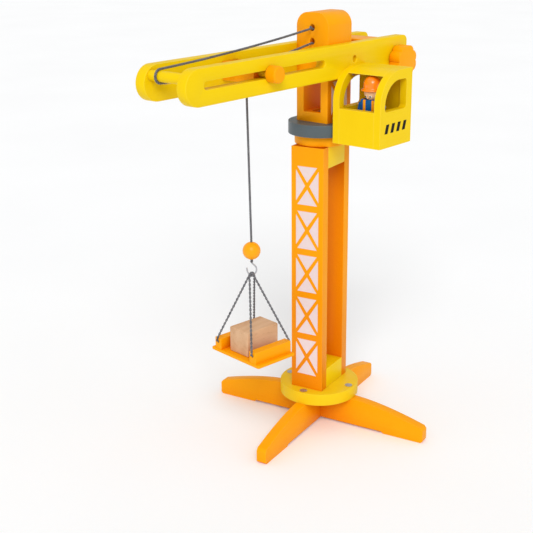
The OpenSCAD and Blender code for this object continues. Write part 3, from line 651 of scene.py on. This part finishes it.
DRUM_R = (high("drawcord_windings").z - low("drawcord_windings").z) / 2
DRUM_CORD = 3 * MM               # how far from the middle each run meets the drum
DRUM_NEAR = WINCH.x - 6 * MM     # where each run levels out before the drum
rear_upper = [Vector((HEAD_REAR - 1.5 * MM, 0, UPPER_OUT + 0.8 * MM)),
              Vector((HEAD_REAR + 1 * MM, 0, UPPER_OUT - 0.2 * MM)),
              Vector((DRUM_NEAR, -DRUM_CORD, WINCH.z + DRUM_R - CORD_R)),
              Vector((WINCH.x, -DRUM_CORD, WINCH.z + DRUM_R - CORD_R))]
rear_lower = [Vector((HEAD_FRONT, 0, LOWER_IN)),
              Vector((HEAD_REAR - 1.5 * MM, 0, LOWER_OUT + 0.8 * MM)),
              Vector((HEAD_REAR + 1 * MM, 0, LOWER_OUT - 0.2 * MM)),
              Vector((DRUM_NEAR, DRUM_CORD, WINCH.z - DRUM_R + CORD_R)),
              Vector((WINCH.x, DRUM_CORD, WINCH.z - DRUM_R + CORD_R))]
twisted_cord("drawcord_to_winch", [rear_upper, rear_lower],
             ["drawcord_rear_upper", "drawcord_rear_lower"], "upper")

COIL_STEPS = 24                  # points in one turn of cord


def coil(name, node, body):
    """Turns of cord side by side, in place of a CAD node that turns about Y."""
    a, b = low(node), high(node)
    mid = centre(node)
    radius = (b.z - a.z) / 2 - CORD_R
    turns = int((b.y - a.y) / (2 * CORD_R))
    count = turns * COIL_STEPS
    y0, y1 = a.y + CORD_R, b.y - CORD_R
    run = [Vector((mid.x + radius * math.cos(2 * math.pi * i / COIL_STEPS),
                   y0 + (y1 - y0) * i / count,
                   mid.z + radius * math.sin(2 * math.pi * i / COIL_STEPS)))
           for i in range(count + 1)]
    return twisted_cord(name, [run], [node], body)


coil("winch_coil", "drawcord_windings", "winch")
coil("hoist_coil", "hoist_windings", "hoist_drum")

cord_top = Vector((HOOK_LINE.x, HOOK_LINE.y + 3.4 * MM, high("hoist_cord").z + 3 * MM))
cord_foot = Vector((HOOK_LINE.x, HOOK_LINE.y, high("hook_ball").z - 2 * MM))
hoist_run = twisted_cord("hoist_line", [[cord_top, cord_foot]], ["hoist_cord"])
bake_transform(hoist_run)

# ---------------------------------------------------------------- sling

BALL = centre("hook_ball")
HOOK_PLANE = Matrix.Rotation(math.radians(-49), 4, "Z")      # the plane of the wire hook
WIRE_R = 0.7 * MM
HOOK_HALF = 4.3 * MM             # radius of the hook's bows
HOOK_TOP = low("hook_knot").z + 1 * MM
HOOK_LOW = low("hook_wire").z - 1.2 * MM


def wire_point(across, height):
    """A point of the wire hook, in its own plane."""
    return Vector((HOOK_LINE.x, HOOK_LINE.y, height)) + HOOK_PLANE @ Vector((across, 0, 0))


hook_run = [wire_point(0, BALL.z - 3 * MM), wire_point(0, HOOK_TOP),
            wire_point(0.6 * MM, HOOK_TOP - 1.5 * MM)]
hook_run += [wire_point(HOOK_HALF * math.sin(a), HOOK_TOP - 2.6 * MM - HOOK_HALF * (1 - math.cos(a)))
             for a in (math.radians(d) for d in (45, 70, 90))]
hook_run += [wire_point(HOOK_HALF * math.cos(a), HOOK_LOW + HOOK_HALF - HOOK_HALF * math.sin(a))
             for a in (math.radians(d) for d in (0, 30, 60, 90, 120, 150, 180))]
hook_run += [wire_point(-HOOK_HALF - 0.2 * MM, HOOK_LOW + HOOK_HALF + 2.2 * MM)]
verts, faces = tube_mesh([along(hook_run, 0.4 * MM)], WIRE_R, 12)
wire = piece("open_hook", verts, faces, zinc, "load")
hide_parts("hook_wire")

TIE_R = 1.35 * MM
tie_top = Vector((HOOK_LINE.x, HOOK_LINE.y, BALL.z - 7 * MM))
tie_foot = Vector((HOOK_LINE.x, HOOK_LINE.y, HOOK_TOP - 0.5 * MM))
twisted_cord("hook_tie", [[tie_top, tie_foot]], ["hook_knot"], "hook", radius=TIE_R)

RAIL_TOP = high("platform_rail_near").z
ROPE_LOW = low("sling_ropes").z + CORD_R
APEX = Vector((HOOK_LINE.x, HOOK_LINE.y, HOOK_LOW + WIRE_R + CORD_R))
spin = Matrix.Rotation(LOAD_TURN, 4, "Z")
RAIL_Y = (centre("platform_rail_far") - centre("platform_rail_near")).length / 2
rail_side = [spin.inverted() @ (v.co - centre("platform_rail_near"))
             for v in CAD["platform_rail_near"].data.vertices]
RAIL_HALF = max(p.x for p in rail_side)
LOOP_TURN = Matrix.Rotation(math.radians(-40), 4, "Z")      # how the loops lie over the hook
WRAP_R = 1.9 * MM
SLING_PITCH = 7.6 * MM


def sling_rope(sx, sy):
    """A rope from its hole in a rail's end, over the rail's edge, and up to the hook."""
    middle = Vector((HOOK_LINE.x, HOOK_LINE.y, 0))

    def on_platform(x, y, z):
        return middle + spin @ Vector((sx * x, sy * y, z))

    def on_hook(x, y, z):
        return middle + spin @ LOOP_TURN @ Vector((sx * x, sy * y, z))

    run = [on_platform(RAIL_HALF - 4 * MM, RAIL_Y, ROPE_LOW),
           on_platform(RAIL_HALF - 0.2 * MM, RAIL_Y, ROPE_LOW + 0.4 * MM),
           on_platform(RAIL_HALF + 1.4 * MM, RAIL_Y, ROPE_LOW + 2.2 * MM),
           on_platform(RAIL_HALF + 0.4 * MM, RAIL_Y - 0.6 * MM, RAIL_TOP + 1.6 * MM)]
    shoulder = on_hook(2.2 * MM, 2.6 * MM, APEX.z - 3.2 * MM)
    run += [run[-1].lerp(shoulder, t) for t in (0.3, 0.6, 0.9)] + [shoulder]
    run += [on_hook(0.9 * MM, 1.1 * MM, APEX.z - 0.6 * MM), APEX]
    return run


wrap = [Vector((HOOK_LINE.x, HOOK_LINE.y, APEX.z - 2.2 * MM))
        + Vector((math.cos(a) * WRAP_R, math.sin(a) * WRAP_R, 0.7 * MM * math.sin(a)))
        for a in (math.radians(d) for d in range(0, 361, 30))]
twisted_cord("sling", [sling_rope(sx, sy) for sx in (-1, 1) for sy in (-1, 1)] + [wrap],
             ["sling_ropes"], "load", strands=2, pitch=SLING_PITCH)

# ---------------------------------------------------------------- screw heads

SCREW_R = 3.7 * MM
SCREW_PROUD = 0.3 * MM
SCREW_RING = 33.5 * MM           # radius of the circle that the foot screws are on
SCREW_TURN = math.pi / 7         # how the crosses stand
ARC_STEPS = 8


def cross_head(at, radius, gap=0.45 * MM):
    """Four quarter wedges that leave a cross recess between them."""
    reach = math.sqrt(radius * radius - gap * gap)
    start = math.asin(gap / radius)
    shapes = []
    for q in range(4):
        turned = []
        arc = [start + (math.pi / 2 - 2 * start) * k / ARC_STEPS for k in range(ARC_STEPS + 1)]
        for x, y in [(gap, gap)] + [(radius * math.cos(a), radius * math.sin(a)) for a in arc]:
            a = q * math.pi / 2 + SCREW_TURN
            turned.append((at[0] + x * math.cos(a) - y * math.sin(a),
                           at[1] + x * math.sin(a) + y * math.cos(a)))
        shapes.append(turned)
    return shapes


heads = []
DISC_TOP = high("base_disc").z
for q in range(4):
    a = BASE_TURN + q * math.pi / 2
    heads += cross_head((SCREW_RING * math.cos(a), SCREW_RING * math.sin(a)), SCREW_R)
plates("screw_crosses", heads, SCREW_PROUD, Matrix.Translation((0, 0, DISC_TOP)), zinc, "base")

# ---------------------------------------------------------------- driver

BODY = centre("driver_body")
BODY_LOW, BODY_HIGH = low("driver_body"), high("driver_body")
BODY_W = BODY_HIGH.y - BODY_LOW.y
LEG_TOP = BODY_LOW.z + 14 * MM

trunk_mid = Vector((BODY.x + 0.5 * MM, BODY.y, (LEG_TOP + BODY_HIGH.z) / 2))
trunk = soft_box("trunk", (11 * MM, BODY_W, BODY_HIGH.z - LEG_TOP + 1 * MM),
                 Matrix.Translation(trunk_mid), blue_paint, "upper", 1.6 * MM)
legs = []
for side, tag in SIDES:
    spot = Vector((BODY.x, BODY.y + side * BODY_W / 4, (BODY_LOW.z + LEG_TOP) / 2))
    legs.append(soft_box("leg_" + tag,
                         (12 * MM, BODY_W / 2 - 1 * MM, LEG_TOP - BODY_LOW.z - 0.2 * MM),
                         Matrix.Translation(spot), blue_paint, "upper", 1.2 * MM))
for obj in [trunk] + legs:
    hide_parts("driver_body")

STRAP_Y = 4.6 * MM               # from the driver's middle to each strap
STRAP_H = BODY_HIGH.z - LEG_TOP - 1 * MM
for side, tag in SIDES:
    spot = Vector((trunk_mid.x, BODY.y + side * STRAP_Y, LEG_TOP + STRAP_H / 2 + 1.2 * MM))
    soft_box("strap_" + tag, (12 * MM, 2.8 * MM, STRAP_H), Matrix.Translation(spot), orange_z, "upper",
             0.6 * MM)

HEAD_BASE = BODY_HIGH.z
FACE_R = 6.5 * MM
# radius and height in millimetres
HEAD_SHAPE = [(0, -0.2), (3.4, 0), (3.6, 0.8), (5.0, 1.9), (6.2, 3.4), (6.9, 5.2), (7.0, 6.8), (6.8, 8.4),
              (6.2, 9.8), (5.2, 10.9), (0, 11)]
skull = lathe("driver_face", [(r * MM, h * MM) for r, h in HEAD_SHAPE], (BODY.x, BODY.y, HEAD_BASE),
              (0, 0, 1), face_wood, "upper")
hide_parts("driver_head")


def face_dot(name, aside, height, radius, proud, material):
    """A round painted spot on the face, which looks along -X."""
    turn = math.asin(aside / FACE_R)
    outward = Vector((-math.cos(turn), math.sin(turn), -0.25)).normalized()
    spot = Vector((BODY.x, BODY.y, HEAD_BASE + height)) + outward * (FACE_R - 0.1 * MM)
    profile = [(radius, -0.8 * MM), (radius, proud - 0.1 * MM), (radius * 0.9, proud),
               (0, proud + 0.05 * MM)]
    lathe(name, profile, spot, outward, material, "upper", 20)


for side, tag in SIDES:
    face_dot("eye_" + tag, side * 2.5 * MM, 5.2 * MM, 1.45 * MM, 0.2 * MM, white_ink)
    face_dot("pupil_" + tag, side * 2.4 * MM, 5.1 * MM, 0.8 * MM, 0.35 * MM, face_ink)
face_dot("nose", 0.0, 4.0 * MM, 0.8 * MM, 0.9 * MM, face_wood)

HELMET = centre("driver_helmet")
HELMET_LOW, HELMET_HIGH = low("driver_helmet"), high("driver_helmet")
BRIM = (HELMET_HIGH.x - HELMET_LOW.x) / 2
DOME = 8.0 * MM
dome_mid = HELMET_HIGH.z - HELMET_LOW.z - DOME
shell = [(7.1 * MM, 0.5 * MM), (BRIM - 0.6 * MM, 0), (BRIM, 0.5 * MM), (BRIM - 0.1 * MM, 1.1 * MM),
         (BRIM - 0.9 * MM, 1.7 * MM), (DOME + 0.2 * MM, 2.1 * MM), (DOME, 2.8 * MM), (DOME, dome_mid)]
shell += [(DOME * math.cos(a), dome_mid + DOME * math.sin(a))
          for a in (math.radians(d) for d in range(10, 90, 10))] + [(0, dome_mid + DOME)]
helmet = lathe("hard_hat", shell, (HELMET.x, HELMET.y, HELMET_LOW.z), (0, 0, 1), helmet_paint, "upper",
               64)
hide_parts("driver_helmet")

# radius and distance from the shoulder in millimetres
SLEEVE = [(0, -2.6), (1.5, -2.2), (2.2, -1.0), (2.35, 1), (2.3, 8.6), (2.0, 9.2), (0, 9.2)]
HAND = [(0, 8.8), (1.6, 8.8), (2.0, 10.4), (2.1, 12), (1.6, 13.4), (0, 14.1)]
ARM_LEAN = math.radians(15)      # how far the arms lean to the front
downward = Vector((-math.sin(ARM_LEAN), 0, -math.cos(ARM_LEAN)))
for body in ("arm_left", "arm_right"):
    node = "driver_" + body
    pivot = Vector((BODY.x + 0.5 * MM, centre(node).y, high(node).z - 2.8 * MM))
    sleeve = lathe(body + "_sleeve", [(r * MM, h * MM) for r, h in SLEEVE], pivot, downward,
                   blue_paint, body, 32)
    hand = lathe(body + "_hand", [(r * MM, h * MM) for r, h in HAND], pivot, downward,
                 face_wood, body, 32)
    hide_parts(node)
    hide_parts(node)

# ---------------------------------------------------------------- floor, light, camera

FLOOR_HALF = 40                  # metres
floor = piece("floor", [(-FLOOR_HALF, -FLOOR_HALF, 0), (FLOOR_HALF, -FLOOR_HALF, 0),
                        (FLOOR_HALF, FLOOR_HALF, 0), (-FLOOR_HALF, FLOOR_HALF, 0)], [(0, 1, 2, 3)],
              panel_white, smooth=False)
floor_shader = Shader("floor_paper")
tint = floor_shader.spread(floor_shader.noise(3, 2), 0.3, 0.7, 0.0, 1.0)
paper = floor_shader.mix(tint, (0.96, 0.965, 0.97, 1), (0.98, 0.985, 0.99, 1))
floor.data.materials[0] = floor_shader.finish(paper, 0.9, specular=0.1)

# an even white room, a little brighter to the eye than to the crane, and one broad soft lamp
SKY_LIGHT = 0.70
SKY_SEEN = 1.05
LAMP_ENERGY = 1.6
LAMP_ANGLE = math.radians(28)
LAMP_DIRECTION = Vector((0.60, 0.50, -0.62))
world = bpy.data.worlds.new("studio")
bpy.context.scene.world = world
world.use_nodes = True
sky = world.node_tree.nodes["Background"]
sky.inputs["Color"].default_value = (1, 1, 1, 1)
path = world.node_tree.nodes.new("ShaderNodeLightPath")
level = world.node_tree.nodes.new("ShaderNodeMapRange")
level.inputs["To Min"].default_value = SKY_LIGHT
level.inputs["To Max"].default_value = SKY_SEEN
world.node_tree.links.new(path.outputs["Is Camera Ray"], level.inputs["Value"])
world.node_tree.links.new(level.outputs["Result"], sky.inputs["Strength"])

lamp = bpy.data.lights.new("key", "SUN")
lamp.energy = LAMP_ENERGY
lamp.angle = LAMP_ANGLE
key = bpy.data.objects.new("key", lamp)
bpy.context.scene.collection.objects.link(key)
key.rotation_euler = LAMP_DIRECTION.to_track_quat("-Z", "Y").to_euler()

CAMERA_AZIMUTH = math.radians(-49.68)
CAMERA_ELEVATION = math.radians(18.74)
CAMERA_ROLL = math.radians(-0.57)
CAMERA_TARGET = Vector((-34.08, 40.41, 163.51)) * MM
CAMERA_DISTANCE = 1038.46 * MM
LENS = 70.89                     # of a sensor 36 mm wide

back = Vector((math.sin(CAMERA_AZIMUTH) * math.cos(CAMERA_ELEVATION),
               -math.cos(CAMERA_AZIMUTH) * math.cos(CAMERA_ELEVATION), math.sin(CAMERA_ELEVATION)))
right = Vector((0, 0, 1)).cross(back).normalized()
up = back.cross(right)
rolled_right = right * math.cos(CAMERA_ROLL) + up * math.sin(CAMERA_ROLL)
rolled_up = up * math.cos(CAMERA_ROLL) - right * math.sin(CAMERA_ROLL)
eye = CAMERA_TARGET + back * CAMERA_DISTANCE
camera_data = bpy.data.cameras.new("camera")
camera_data.lens = LENS
camera_data.sensor_width = 36
camera_data.clip_start = 0.05
camera = bpy.data.objects.new("camera", camera_data)
bpy.context.scene.collection.objects.link(camera)
camera.matrix_world = Matrix((
    (rolled_right.x, rolled_up.x, back.x, eye.x),
    (rolled_right.y, rolled_up.y, back.y, eye.y),
    (rolled_right.z, rolled_up.z, back.z, eye.z),
    (0, 0, 0, 1)))
bpy.context.scene.camera = camera
bpy.context.scene.view_settings.view_transform = "Standard"
